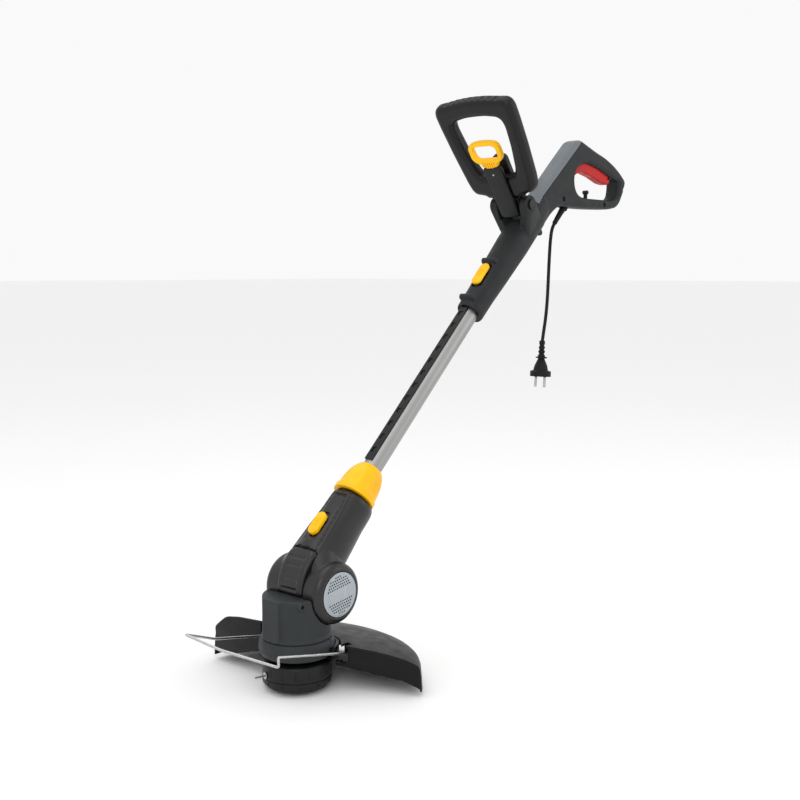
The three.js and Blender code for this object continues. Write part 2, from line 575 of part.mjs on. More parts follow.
// ---- Spool ----
const EYELET_TURN = 165; // degrees round the spool
const EYELET_Z = 25.6;
const atEyelet = (body) => body.rotate([0, 90, 0]).translate([0, 0, EYELET_Z]).rotate([0, 0, EYELET_TURN]);
const spoolHousing = turned([
  [46.3, 20], [SPOOL_R, 20], [SPOOL_R, 40], [46, 44], [4.3, 44], [4.3, 30], [8.5, 30], [8.5, 40.6], [46.3, 40.6], [46.3, 20],
], 36).subtract(atEyelet(rodZ(3.5, 40, 60, 0, 0, 16)));
add(tool, "spool_housing", spoolHousing, "black");
let spoolCap = turned([
  [30.6, 4], [41, 4], [46.5, 8], [SPOOL_R, 11], [SPOOL_R, 19.7], [44, 19.7], [44, 11], [30.6, 7.4], [30.6, 4],
], 36);
for (let i = 0; i < 12; i += 1) {
  spoolCap = spoolCap.subtract(rodZ(2.6, 3, 16, SPOOL_R + 0.6, 0, 6).rotate([0, 0, i * 30 + 8]));
}
add(tool, "spool_cap", spoolCap, "black");
add(tool, "line_spool", turned([
  [12, 21.4], [43, 21.4], [43, 23], [24, 23], [24, 37.4], [43, 37.4], [43, 39.4], [12, 39.4], [12, 21.4],
], 24), "black");
add(tool, "line_eyelet", atEyelet(ring(1.5, 3.2, 45, 50.6, 16).add(ring(1.5, 5, 49.9, 51.4, 16))), "steel");
add(tool, "cutting_line", ring(24.3, 33, 23.6, 36.8, 32).add(atEyelet(rodZ(1.1, 31, 66, 0, 0, 10))), "line");
add(tool, "bump_spring", ring(9.6, 11.4, 28.3, 40.2, 20), "steel");
add(tool, "bump_knob", turned([
  [0, 0], [22, 0], [30, 4], [30, 10], [11.6, 10], [11.6, 28], [9, 28], [9, 12], [0, 12],
], 28), "dark");

// ---- Front handle ----
// the half outline of the loop in Y and Z, mirrored to the other side
const mirrored = (half) => [...half, ...half.filter(([y]) => y > 0).reverse().map(([y, z]) => [-y, z])];
const loopShape = shapeOf(mirrored([
  [35, 19], [40, 24], [58, 28], [64.5, 36], [68, 52], [74, 110], [77.5, 160], [78, 182], [75, 191], [68, 196.5], [50, 198.5],
  [26, 201.5], [0, 202.5],
]));
const loopHole = mirrored([
  [22, 60], [34, 63], [38.5, 78], [45, 115], [48, 150], [46, 160], [40, 164.5], [20, 167.5], [0, 168],
]);
loopShape.holes.push(new THREE.Path(loopHole.map(([y, z]) => new THREE.Vector2(y, z))));
let loop = plateX(loopShape, -AUX_THICK / 2, AUX_THICK / 2, 8, 2)
  .subtract(block([-40, -20, 10], [-8, 20, 64]))
  .subtract(block([8, -20, 10], [40, 20, 64]));
for (let y = -50; y <= 50; y += 20) {
  loop = loop.subtract(placed(new THREE.CylinderGeometry(2.6, 2.6, 60, 8), [0, y, 203.6 - (y * y) / 600], [0, 0, Math.PI / 2]));
}
add(aux, "aux_shell_front", loop.intersect(block([-100, -100, 0], [-SPLIT, 100, 300])), "black");
add(aux, "aux_shell_rear", loop.intersect(block([SPLIT, -100, 0], [100, 100, 300])), "black");

const tongue = plateX(shapeOf(mirrored([[14, 5], [14, 84], [11, 89], [5, 91], [0, 91.4]])), 8.4, 20, 2, 1);
const postBody = rodY(18.6, -22.5, 22.5, 0, 0, 28)
  .add(block([-8, -18, 5], [12, 18, 18.6]))
  .add(tongue)
  .subtract(block([-30, -30, -14.4], [-8.4, 30, 30]))
  .subtract(rodY(6.3, -40, 40, 0, 0, 20));
add(aux, "post_body", postBody, "dark");
const plate = plateX(shapeOf(mirrored([[14, -14], [18, -9], [18, 68], [12, 78], [0, 78]])), -17, -8.7, 2, 1)
  .subtract(block([-15.6, -8, 2], [0, 8, 90]));
add(aux, "post_front_plate", plate, "black");

const ringShape = shapeOf(mirrored([
  [7, 20], [7, 80], [14.5, 84], [15.5, 90], [25, 94], [31, 102], [31, 122], [25, 129], [12, 131.5], [0, 132],
]));
const ringHole = mirrored([[14, 99.5], [18, 103], [18.5, 118], [14, 121.5], [0, 122]]);
const pullRing = plateX(ringShape, -18.6, -7, 2.5, 2)
  .subtract(plateX(shapeOf(ringHole), -30, 10))
  .subtract(block([-30, -20, 0], [-15.2, 20, 84]))
  .subtract(block([-11, -20, 0], [0, 20, 84]));
add(aux, "pull_ring", pullRing, "yellow");
add(aux, "latch_spring", plateX(shapeOf([[-4, 3], [4, 3], [4, 19.6], [-4, 19.6]]), -15.2, -11), "steel");
add(aux, "pivot_bolt", rodY(5.7, -38.5, 42, 0, 0, 20).add(rodY(8.6, -41.5, -38.3, 0, 0, 24)), "black");
add(aux, "pivot_nut", rodY(8.6, 38.3, 42, 0, 0, 6).subtract(rodY(6, 30, 50, 0, 0, 20)), "steel");

export default trimmer;
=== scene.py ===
import math
import bmesh
import bpy
from mathutils import Matrix, Vector


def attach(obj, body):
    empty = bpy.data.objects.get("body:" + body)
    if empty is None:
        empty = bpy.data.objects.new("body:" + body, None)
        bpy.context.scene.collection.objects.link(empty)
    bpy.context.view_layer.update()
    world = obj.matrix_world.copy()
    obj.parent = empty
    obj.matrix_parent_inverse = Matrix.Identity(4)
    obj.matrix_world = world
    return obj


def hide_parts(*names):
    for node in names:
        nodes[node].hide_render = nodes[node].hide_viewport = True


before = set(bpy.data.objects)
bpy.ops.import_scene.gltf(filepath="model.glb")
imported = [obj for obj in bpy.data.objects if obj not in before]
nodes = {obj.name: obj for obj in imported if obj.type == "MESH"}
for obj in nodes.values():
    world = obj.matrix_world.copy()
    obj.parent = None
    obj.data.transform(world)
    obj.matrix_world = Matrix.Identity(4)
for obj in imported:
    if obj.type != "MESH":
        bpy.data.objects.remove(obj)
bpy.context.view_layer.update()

# Shapes are made in millimetres in the tool frame (origin on the ground under the spool, +X towards
# the user, +Y to the tool's right, +Z up) and turned into the row frame, in metres, by finished().
GRIP = Vector((760, 0, 785))  # the part's origin, in the middle of the rear hand opening
LEAN = math.radians(46.1)  # the tube's lean from upright
FOOT = Vector((3.4, 0, 147))  # zero point of the heights along the tube's axis
AXLE = (31.2, 138.3)  # x and z of the axle that the head tilts on
AUX_PIVOT = Vector((508, 0, 700))
AUX_TILT = math.radians(-36)
SHAFT = Matrix.Translation(FOOT) @ Matrix.Rotation(LEAN, 4, "Y")
AUX = Matrix.Translation(AUX_PIVOT) @ Matrix.Rotation(AUX_TILT, 4, "Y")
SHAFT_AXLE = SHAFT.inverted() @ Vector((AXLE[0], 0, AXLE[1]))
TO_ROW = Matrix.Diagonal((0.001, 0.001, 0.001, 1)) @ Matrix.Translation(-GRIP)
FLOOR_Z = -0.785  # height of the ground, in metres
FLOOR_HALF = 60
SEAM = 0.15  # half the gap between two shells, in millimetres
CAMERA_PLACE = (-1.8049, -1.1274, -0.1961)
CAMERA_DOWN, CAMERA_TURN = 6.614, -48.304  # degrees below level, and degrees about Z

# ---------------------------------------------------------------- camera
camera = bpy.data.objects.new("camera", bpy.data.cameras.new("camera"))
bpy.context.scene.collection.objects.link(camera)
camera.data.sensor_width = 36
camera.data.lens = 50
camera.location = CAMERA_PLACE
camera.rotation_euler = (math.radians(90 - CAMERA_DOWN), 0, math.radians(CAMERA_TURN))
bpy.context.scene.camera = camera


# ---------------------------------------------------------------- materials
class Shader:
    """A small helper that adds nodes to one material and links them."""

    def __init__(self, name, color, roughness, metallic=0.0):
        self.material = bpy.data.materials.new(name)
        self.material.use_nodes = True
        self.tree = self.material.node_tree
        self.shader = self.tree.nodes["Principled BSDF"]
        self.shader.inputs["Base Color"].default_value = (*color, 1)
        self.shader.inputs["Roughness"].default_value = roughness
        self.shader.inputs["Metallic"].default_value = metallic
        self.place = self.node("ShaderNodeTexCoord").outputs["Object"]

    def node(self, kind, **values):
        made = self.tree.nodes.new(kind)
        for key, value in values.items():
            setattr(made, key, value)
        return made

    def link(self, a, b):
        self.tree.links.new(a, b)

    def noise(self, scale, detail=3.0, stretch=None, lean=0.0):
        place = self.place
        if stretch:
            mapping = self.node("ShaderNodeMapping")
            mapping.inputs["Rotation"].default_value = (0, lean, 0)
            turned_place = self.node("ShaderNodeMapping")
            turned_place.inputs["Scale"].default_value = stretch
            self.link(place, mapping.inputs["Vector"])
            self.link(mapping.outputs["Vector"], turned_place.inputs["Vector"])
            place = turned_place.outputs["Vector"]
        noise = self.node("ShaderNodeTexNoise")
        noise.inputs["Scale"].default_value = scale
        noise.inputs["Detail"].default_value = detail
        self.link(place, noise.inputs["Vector"])
        return noise.outputs["Fac"]

    def ramp(self, value, stops):
        ramp = self.node("ShaderNodeValToRGB")
        elements = ramp.color_ramp.elements
        for i, (position, color) in enumerate(stops):
            element = elements[i] if i < 2 else elements.new(position)
            element.position = position
            element.color = (*color, 1) if len(color) == 3 else color
        self.link(value, ramp.inputs["Fac"])
        return ramp.outputs["Color"]

    def spread(self, value, low, high):
        spread = self.node("ShaderNodeMapRange")
        spread.inputs["From Min"].default_value = 0.3
        spread.inputs["From Max"].default_value = 0.7
        spread.inputs["To Min"].default_value = low
        spread.inputs["To Max"].default_value = high
        self.link(value, spread.inputs["Value"])
        return spread.outputs["Result"]

    def mix(self, factor, a, b):
        mix = self.node("ShaderNodeMix", data_type="RGBA")
        self.link(factor, mix.inputs["Factor"])
        for socket, value in ((mix.inputs["A"], a), (mix.inputs["B"], b)):
            if hasattr(value, "links"):
                self.link(value, socket)
            else:
                socket.default_value = (*value, 1)
        return mix.outputs["Result"]

    def bump(self, value, distance, strength=1.0, under=None):
        bump = self.node("ShaderNodeBump")
        bump.inputs["Strength"].default_value = strength
        bump.inputs["Distance"].default_value = distance
        self.link(value, bump.inputs["Height"])
        if under:
            self.link(under, bump.inputs["Normal"])
        return bump.outputs["Normal"]


def scaled(color, factor):
    return tuple(min(1.0, c * factor) for c in color)


def plastic(name, color, roughness, grain=1400, depth=0.00006, wear_and_highlight=1.7, coat=0.0, grain_strength=0.45,
            shine=0.22):
    """Moulded plastic: fine spark-eroded grain, slow tone changes, faint dust, and lighter edges that are
    partly rubbed wear and partly a painted highlight.
    """
    s = Shader(name, color, roughness)
    s.shader.inputs["Specular IOR Level"].default_value = shine
    slow = s.noise(14, 4)
    tone = s.ramp(slow, [(0.3, scaled(color, 0.88)), (0.7, scaled(color, 1.14))])
    # convex edges are lightened by pointiness: partly rubbed wear, partly a painted highlight where edges
    # catch the light
    edge = s.node("ShaderNodeNewGeometry").outputs["Pointiness"]
    wear_and_highlight_mask = s.ramp(edge, [(0.515, (0, 0, 0)), (0.56, (0.55, 0.55, 0.55))])
    worn_and_highlit = s.mix(wear_and_highlight_mask, tone, scaled(color, wear_and_highlight))
    s.link(worn_and_highlit, s.shader.inputs["Base Color"])
    s.link(s.spread(s.noise(60, 5), roughness - 0.06, roughness + 0.08), s.shader.inputs["Roughness"])
    fine = s.bump(s.noise(grain, 2), depth, grain_strength)
    s.link(s.bump(s.noise(35, 2), 0.0004, 0.12, fine), s.shader.inputs["Normal"])
    if coat:
        s.shader.inputs["Coat Weight"].default_value = coat
        s.shader.inputs["Coat Roughness"].default_value = 0.18
    return s.material


def metal(name, color, roughness, stretch, lean=0.0, scratch=0.00002):
    """Bare metal with drawing or turning marks and a few soft stains."""
    s = Shader(name, color, roughness, 1.0)
    marks = s.noise(400, 3, stretch, lean)
    tone = s.ramp(marks, [(0.35, scaled(color, 0.9)), (0.65, scaled(color, 1.08))])
    s.link(s.mix(s.spread(s.noise(18, 4), 0.0, 0.3), tone, scaled(color, 0.8)), s.shader.inputs["Base Color"])
    s.link(s.spread(marks, roughness - 0.05, roughness + 0.08), s.shader.inputs["Roughness"])
    s.link(s.bump(marks, scratch, 0.6), s.shader.inputs["Normal"])
    return s.material


# each plastic's edge factor (the number after the bump depth) lightens its edges as wear and as a painted
# highlight
look = {
    "charcoal": plastic("charcoal_plastic", (0.026, 0.0295, 0.032), 0.50),
    "handle": plastic("handle_plastic", (0.0165, 0.0178, 0.0188), 0.50),
    "neck": plastic("satin_dark_plastic", (0.0085, 0.0082, 0.0078), 0.36, 1100, 0.00003, 2.2, 0.1, 0.25,
                    0.42),
    "black": plastic("black_plastic", (0.0045, 0.0045, 0.0047), 0.42, 1200, 0.00005, 2.6, 0.0, 0.45, 0.3),
    "guard": plastic("guard_plastic", (0.0022, 0.0022, 0.0022), 0.42, 900, 0.00005, 3.0),
    "grey": plastic("pale_grey_plastic", (0.150, 0.166, 0.182), 0.40, 1500, 0.00003, 1.3),
    "yellow": plastic("yellow_plastic", (1.0, 0.49, 0.0), 0.34, 1300, 0.00002, 1.1, 0.1, 0.2),
    "red": plastic("red_plastic", (0.44, 0.009, 0.007), 0.40, 1300, 0.00003, 1.3, 0.0, 0.3),
    "rubber": plastic("cable_rubber", (0.006, 0.006, 0.0063), 0.6, 1700, 0.00004, 1.8),
    "line": plastic("line_nylon", (0.10, 0.10, 0.105), 0.4, 1700, 0.00002, 1.3),
    "silver": metal("silver_disc", (0.42, 0.46, 0.49), 0.42, (1, 1, 0.03)),
    "tube": metal("drawn_aluminium", (0.37, 0.37, 0.365), 0.42, (1, 1, 0.004), -LEAN),
    "steel": metal("bright_steel", (0.50, 0.50, 0.49), 0.24, (0.05, 1, 1)),
    "dark_steel": metal("blackened_steel", (0.045, 0.046, 0.048), 0.38, (1, 1, 1)),
    "copper": metal("copper_winding", (0.55, 0.2, 0.08), 0.35, (1, 1, 8)),
}


# ---------------------------------------------------------------- mesh tools
def mesh_object(name, vertices, faces):
    mesh = bpy.data.meshes.new(name)
    mesh.from_pydata([tuple(v) for v in vertices], [], faces)
    mesh.validate()
    obj = bpy.data.objects.new(name, mesh)
    bpy.context.scene.collection.objects.link(obj)
    return obj


def outward(obj, merge=0.0005):
    work = bmesh.new()
    work.from_mesh(obj.data)
    bmesh.ops.remove_doubles(work, verts=work.verts, dist=merge)
    bmesh.ops.recalc_face_normals(work, faces=work.faces)
    if work.calc_volume(signed=True) < 0:
        bmesh.ops.reverse_faces(work, faces=work.faces)
    work.to_mesh(obj.data)
    work.free()
    return obj


def placed(obj, matrix):
    obj.data.transform(matrix)
    return obj


def turned(points, sides=96, shape=None):
    """A solid turned about Z from (radius, height) points.

    shape(radius, height, angle), where given, changes the radius at one point.
    """
    closed = points[0] == points[-1]
    rows = points[:-1] if closed else points
    vertices, index = [], []
    for radius, height in rows:
        if radius < 1e-6:
            index.append([len(vertices)] * sides)
            vertices.append((0, 0, height))
            continue
        index.append(list(range(len(vertices), len(vertices) + sides)))
        for i in range(sides):
            angle = 2 * math.pi * i / sides
            r = shape(radius, height, angle) if shape else radius
            vertices.append((r * math.cos(angle), r * math.sin(angle), height))
    pairs = list(zip(index, index[1:]))
    if closed:
        pairs.append((index[-1], index[0]))
    faces = []
    for low, high in pairs:
        for i in range(sides):
            j = (i + 1) % sides
            corners = [low[i], low[j], high[j], high[i]]
            corners = [c for k, c in enumerate(corners) if c not in corners[:k]]
            if len(corners) > 2:
                faces.append(corners)
    return outward(mesh_object("turned", vertices, faces))


def rounded(points, radius, steps=4, closed=False):
    """Rounds the corners of an outline given by its points."""
    result = []
    count = len(points)
    for i, point in enumerate(points):
        here = Vector(point)
        if not closed and i in (0, count - 1):
            result.append(tuple(here))
            continue
        before = Vector(points[i - 1])
        after = Vector(points[(i + 1) % count])
        reach = min(radius, 0.45 * (here - before).length, 0.45 * (after - here).length)
        start = here + (before - here).normalized() * reach
        end = here + (after - here).normalized() * reach
        for k in range(steps + 1):
            t = k / steps
            result.append(tuple((1 - t) ** 2 * start + 2 * t * (1 - t) * here + t * t * end))
    return result


def lathe(points, radius=1.0, sides=96, shape=None):
    return turned(rounded([tuple(p) for p in points], radius), sides, shape)


def ring(points, radius=0.5, sides=96, shape=None):
    """A ring turned about Z from a closed outline of (radius, height) points."""
    outline = rounded(points, radius, 3, True)
    return turned(outline + outline[:1], sides, shape)


def rod_z(r, z0, z1, x=0, y=0, sides=48, edge=0.0):
    profile = [(0, z0), (r, z0), (r, z1), (0, z1)]
    rod = lathe(profile, edge, sides) if edge else turned(profile, sides)
    return placed(rod, Matrix.Translation((x, y, 0)))


def rod_y(r, y0, y1, x=0, z=0, sides=64, edge=0.0):
    rod = rod_z(r, y0, y1, sides=sides, edge=edge)
    return placed(rod, Matrix.Translation((x, 0, z)) @ Matrix.Rotation(-math.pi / 2, 4, "X"))


def rod_x(r, x0, x1, y=0, z=0, sides=32, edge=0.0):
    rod = rod_z(r, x0, x1, sides=sides, edge=edge)
    return placed(rod, Matrix.Translation((0, y, z)) @ Matrix.Rotation(math.pi / 2, 4, "Y"))


def block(low, high):
    (a, b, c), (d, e, f) = low, high
    corners = [(a, b, c), (d, b, c), (d, e, c), (a, e, c), (a, b, f), (d, b, f), (d, e, f), (a, e, f)]
    faces = [(0, 3, 2, 1), (4, 5, 6, 7), (0, 1, 5, 4), (1, 2, 6, 5), (2, 3, 7, 6), (3, 0, 4, 7)]
    return mesh_object("block", corners, faces)


def wrapped(*parts):
    """The smallest convex solid that holds all the parts."""
    work = bmesh.new()
    for part in parts:
        work.from_mesh(part.data)
        bpy.data.objects.remove(part)
    hull = bmesh.ops.convex_hull(work, input=work.verts)
    loose = {e for e in hull["geom_interior"] + hull["geom_unused"] if isinstance(e, bmesh.types.BMVert)}
    bmesh.ops.delete(work, geom=list(loose), context="VERTS")
    skin = {e for e in hull["geom"] if isinstance(e, bmesh.types.BMFace)}
    bmesh.ops.delete(work, geom=[f for f in work.faces if f not in skin], context="FACES_ONLY")
    mesh = bpy.data.meshes.new("wrapped")
    work.to_mesh(mesh)
    work.free()
    obj = bpy.data.objects.new("wrapped", mesh)
    bpy.context.scene.collection.objects.link(obj)
    return outward(obj)


def smooth_loop(points, per=6):
    """A smooth closed outline through the points."""
    count = len(points)
    result = []
    for i in range(count):
        p0, p1, p2, p3 = (Vector(points[(i + k) % count]) for k in (-1, 0, 1, 2))
        for k in range(per):
            t = k / per
            result.append(tuple(0.5 * (
                2 * p1 + (p2 - p0) * t + (2 * p0 - 5 * p1 + 4 * p2 - p3) * t * t
                + (3 * p1 - p0 - 3 * p2 + p3) * t ** 3)))
    return result


# how an outline's two axes and its thickness lie in X, Y and Z
PLANES = {
    "xz": Matrix(((1, 0, 0, 0), (0, 0, -1, 0), (0, 1, 0, 0), (0, 0, 0, 1))),
    "yz": Matrix(((0, 0, 1, 0), (1, 0, 0, 0), (0, 1, 0, 0), (0, 0, 0, 1))),
    "xy": Matrix.Identity(4),
}


def plate(outline, low, high, plane="xz", edge=0.0, holes=(), steps=3):
    """An outline extruded from low to high across its plane, with rounded edges."""
    curve = bpy.data.curves.new("outline", "CURVE")
    curve.dimensions = "2D"
    curve.fill_mode = "BOTH"
    for border in (outline, *holes):
        spline = curve.splines.new("POLY")
        spline.points.add(len(border) - 1)
        for point, (a, b) in zip(spline.points, border):
            point.co = (a, b, 0, 1)
        spline.use_cyclic_u = True
    curve.extrude = (high - low) / 2 - edge
    curve.bevel_depth = edge
    curve.bevel_resolution = steps
    curve.offset = -edge
    obj = bpy.data.objects.new("plate", curve)
    bpy.context.scene.collection.objects.link(obj)
    bpy.context.view_layer.update()
    mesh = bpy.data.meshes.new_from_object(obj)
    bpy.data.objects.remove(obj)
    made = bpy.data.objects.new("plate", mesh)
    bpy.context.scene.collection.objects.link(made)
    middle = (low + high) / 2
    if plane == "xz":
        middle = -middle
    placed(made, PLANES[plane] @ Matrix.Translation((0, 0, middle)))
    return outward(made)


def tube_along(points, radius, sides=12, ends=True):
    """A round rod along a line of points, with a radius for all or one for each point."""
    radii = radius if isinstance(radius, (list, tuple)) else [radius] * len(points)
    line = [Vector(p) for p in points]
    vertices, faces = [], []
    side = None
    for i, here in enumerate(line):
        ahead = (line[min(i + 1, len(line) - 1)] - line[max(i - 1, 0)]).normalized()
        if side is None:
            side = ahead.orthogonal().normalized()
        side = (side - ahead * side.dot(ahead)).normalized()
        up = ahead.cross(side)
        for k in range(sides):
            angle = 2 * math.pi * k / sides
            vertices.append(here + radii[i] * (math.cos(angle) * side + math.sin(angle) * up))
    for i in range(len(line) - 1):
        for k in range(sides):
            j = (k + 1) % sides
            faces.append((i * sides + k, i * sides + j, (i + 1) * sides + j, (i + 1) * sides + k))
    if ends:
        faces.append(tuple(range(sides)))
        faces.append(tuple(range((len(line) - 1) * sides, len(line) * sides)))
    return outward(mesh_object("rod", vertices, faces))


def fixed(obj):
    """Applies an object's modifiers to its mesh."""
    graph = bpy.context.evaluated_depsgraph_get()
    mesh = bpy.data.meshes.new_from_object(obj.evaluated_get(graph))
    obj.modifiers.clear()
    obj.data = mesh
    return obj


def solids(base, *tools, mode="UNION"):
    for tool in tools:
        modifier = base.modifiers.new("solid", "BOOLEAN")
        modifier.operation = mode
        modifier.solver = "MANIFOLD"
        modifier.object = tool
    fixed(base)
    for tool in tools:
        bpy.data.objects.remove(tool)
    return base


def cut(base, *tools):
    return solids(base, *tools, mode="DIFFERENCE")


def common(base, *tools):
    return solids(base, *tools, mode="INTERSECT")


def moulded(obj, voxel=1.1, passes=3):
    """Rounds every edge a little, as a moulded part's edges are."""
    remesh = obj.modifiers.new("remesh", "REMESH")
    remesh.mode = "VOXEL"
    remesh.voxel_size = voxel
    smooth = obj.modifiers.new("smooth", "SMOOTH")
    smooth.factor = 0.5
    smooth.iterations = passes
    return fixed(obj)


def copy_of(obj):
    other = obj.copy()
    other.data = obj.data.copy()
    bpy.context.scene.collection.objects.link(other)
    return other


def halves(obj):
    """Splits a closed solid at the centre plane into its left and right shells."""
    other = copy_of(obj)
    left = common(obj, block((-500, -300, -300), (1300, -SEAM, 1300)))
    right = common(other, block((-500, SEAM, -300), (1300, 300, 1300)))
    return left, right


def finished(obj, name, body, finish, *stands_for, angle=40, where=None):
    """Puts a solid into the row frame, gives it its material and ties it to its body."""
    if where:
        placed(obj, where)
    placed(obj, TO_ROW)
    obj.name = name
    obj.data.name = name
    obj.data.materials.clear()
    obj.data.materials.append(look[finish])
    obj.data.shade_smooth()
    if angle:
        obj.data.set_sharp_from_angle(angle=math.radians(angle))
    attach(obj, body)
    if stands_for:
        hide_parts(*stands_for)
    return obj


# ---------------------------------------------------------------- mains lead
CORD_ROUTE = [  # centre line from the strain relief to the plug, in metres
    (-0.1260, 0, -0.1119), (-0.1294, 0, -0.1160), (-0.1326, 0, -0.1214), (-0.1352, 0, -0.1294),
    (-0.1371, 0, -0.1400), (-0.1386, 0, -0.1530), (-0.1400, 0, -0.1730), (-0.1414, 0, -0.1950),
    (-0.1424, 0, -0.2170), (-0.1436, 0, -0.2390), (-0.1458, 0, -0.2610), (-0.1476, 0, -0.2725),
    (-0.1494, 0, -0.2830), (-0.1521, 0, -0.2943), (-0.1544, 0, -0.3040), (-0.1584, 0, -0.3225),
]
CORD_R = 0.003
cord_curve = bpy.data.curves.new("mains_lead", "CURVE")
cord_curve.dimensions = "3D"
cord_curve.bevel_depth = CORD_R
cord_curve.bevel_resolution = 6
cord_curve.use_fill_caps = True
cord_spline = cord_curve.splines.new("NURBS")
cord_spline.points.add(len(CORD_ROUTE) - 1)
for cord_point, place in zip(cord_spline.points, CORD_ROUTE):
    cord_point.co = (*place, 1)
cord_spline.order_u = 4
cord_spline.use_endpoint_u = True
cord_spline.resolution_u = 8
lead = bpy.data.objects.new("mains_lead", cord_curve)
bpy.context.scene.collection.objects.link(lead)
cord_curve.materials.append(look["rubber"])
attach(lead, "handle")
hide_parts("mains_cord")

PLUG = Matrix.Translation((601.8, 0, 466)) @ Matrix.Rotation(math.radians(4), 4, "Y")
plug = lathe([
    (0, -64), (18.5, -64), (18.5, -54.5), (13.2, -53), (11.2, -44), (5.6, -32), (10.2, -31), (10.2, -29.3),
    (6.4, -28.4),
    (6.2, -25.5), (4.6, -24.6), (4.6, -22), (6, -21), (5.9, -18), (4.4, -17.2), (4.4, -14.6), (5.6, -13.8),
    (5.5, -10.8),
    (4.2, -10), (4.2, -7.4), (5.2, -6.6), (5, 0), (0, 0),
], 0.9, 72)
finished(plug, "plug_moulding", "handle", "rubber", "plug_body", where=PLUG)
for i, y in enumerate((-9.5, 9.5)):
    pin = lathe([(0, -83), (2.4, -83), (2.4, -64.3), (0, -64.3)], 1.2, 32)
    finished(pin, f"plug_contact_{i + 1}", "handle", "steel", f"plug_pin_{i + 1}",
             where=PLUG @ Matrix.Translation((0, y, 0)))
RELIEF = Matrix.Translation((658, 0, 698)) @ Matrix.Rotation(math.radians(44), 4, "Y")
relief_profile = [(0, -34), (4.1, -34)]
for i in range(6):
    z = -32 + i * 4.6
    relief_profile += [(4.3 + 0.16 * i, z), (4.3 + 0.18 * i, z + 2.8), (3.7 + 0.18 * i, z + 3.1),
                       (3.7 + 0.18 * i, z + 4.2)]
relief_profile += [(5.5, -4), (5.5, 4), (7.9, 4), (7.9, 7.8), (0, 7.8)]
relief = lathe(relief_profile, 0.5, 48)
finished(relief, "cord_relief", "handle", "rubber", "strain_relief", where=RELIEF)

# ---------------------------------------------------------------- tube, strip and collar
TUBE_TOP, TUBE_END = 700, 84
tube = ring([(13.7, TUBE_END), (15, TUBE_END), (15, TUBE_TOP), (13.7, TUBE_TOP)], 0.3, 128)
finished(tube, "drawn_tube", "tube", "tube", "tube", where=SHAFT)


def collar_radius(radius, z, angle):
    """Broad flutes between the rim and the top of the collar."""
    if z < 167 or z > 207 or radius < 20:
        return radius
    fade = min(1, (z - 167) / 6) * max(0, min(1, (202 - z) / 16))
    return radius - 2.5 * fade * (0.5 - 0.5 * math.cos(10 * angle)) ** 1.6


collar_side = [(32.6, 164.2), (31.4, 165), (31.0, 168)]
for i in range(1, 13):
    t = i / 12
    collar_side.append((31.0 - 3.8 * t - 5.4 * t ** 4, 168 + t * 37.5))
collar_profile = [
    (15.6, 193.6), (25, 193.4), (25, 156.1), (32.4, 156.1), (33, 157), (33, 163.4), *collar_side,
    (20.0, 208.8), (18, 210.5), (15.6, 210.5)]
collar = ring(collar_profile, 0.4, 180, collar_radius)
finished(collar, "fluted_collar", "twist_collar", "yellow", "twist_collar", where=SHAFT, angle=50)

# ---------------------------------------------------------------- neck and fork cheeks
PX, PZ = SHAFT_AXLE.x, SHAFT_AXLE.z
NECK_SHIFT = 5  # the neck's body sits this far below the tube's axis
NECK_SIDE = [
    (38.5, 42), (37.9, 52), (37.2, 64), (36, 85), (34.3, 108), (33.5, 120), (33.4, 138), (33.2, 146),
    (31.6, 152),
    (29.5, 155.4)]


def neck_radius(height):
    for (r0, z0), (r1, z1) in zip(NECK_SIDE, NECK_SIDE[1:]):
        if z0 <= height <= z1:
            return r0 + (r1 - r0) * (height - z0) / (z1 - z0)
    return NECK_SIDE[0][0]


def neck_section(radius, height, angle):
    """A round section whose upper side is a broad flat panel and whose flanks are slightly flat."""
    if radius < 1:
        return radius
    upper = math.cos(angle - math.pi)
    flat = 0.955 * radius / max(upper, 1e-3) if upper > 0.955 else radius
    return min(radius, flat) * (1 - 0.012 * math.cos(4 * angle))


neck = lathe([(0, 42), *NECK_SIDE, (0, 155.4)], 2.5, 160, neck_section)
placed(neck, Matrix.Translation((NECK_SHIFT, 0, 0)))
spigot = rod_z(24.5, 145, 192, sides=96, edge=1)
core = rod_y(38, -46, 46, PX, PZ, 120)
waist = rod_z(37.6, 44, 58, NECK_SHIFT, 0, 120)
spread = wrapped(core, waist)
drums = []
for turn in (-90, 90):
    drum = lathe([(0, 0), (43.5, 0), (44, 12), (44, 46), (42.8, 50), (39.4, 53.6), (36, 55.7), (0, 55.9)],
                 2.2, 144)
    drums.append(placed(drum, Matrix.Translation((PX, 0, PZ)) @ Matrix.Rotation(math.radians(turn), 4, "X")))
# raised rails along the two edges of the upper panel, with a groove inside each
rails, grooves = [], []
for side in (-1, 1):
    rail_path, groove_path = [], []
    for i in range(16):
        height = 150 - 7 * i
        radius = neck_radius(height) if height > 42 else 37.5 - 0.1 * (42 - height)
        across = 15.5 + 0.62 * i
        rail_path.append((NECK_SHIFT - math.sqrt(radius ** 2 - across ** 2) + 0.7, side * across, height))
        across -= 3.4
        groove_path.append((NECK_SHIFT - math.sqrt(radius ** 2 - across ** 2) + 0.2, side * across, height))
    rails.append(tube_along(rail_path, 1.9, 16))
    grooves.append(tube_along(groove_path, 1.1, 12))
neck = solids(neck, spigot, spread, *drums, *rails)
well = plate(smooth_loop([(10, 84), (9.8, 96), (7.4, 106), (0, 110.5), (-7.4, 106), (-9.8, 96), (-10, 84),
                          (-9, 74),
                          (-4.8, 67), (0, 65.4), (4.8, 67), (9, 74)]), -60, -24, "yz")
cradle = plate(smooth_loop([(12.6, 84), (12.4, 98), (9, 110), (0, 115.5), (-9, 110), (-12.4, 98),
                            (-12.6, 84), (-11, 72),
                            (-6, 63.5), (0, 61.6), (6, 63.5), (11, 72)]), -60, -29, "yz")
slot = plate(rounded([(-13, 141), (13, 141), (13, 145.4), (-13, 145.4)], 2, 4, True), -60, -23.5, "yz")
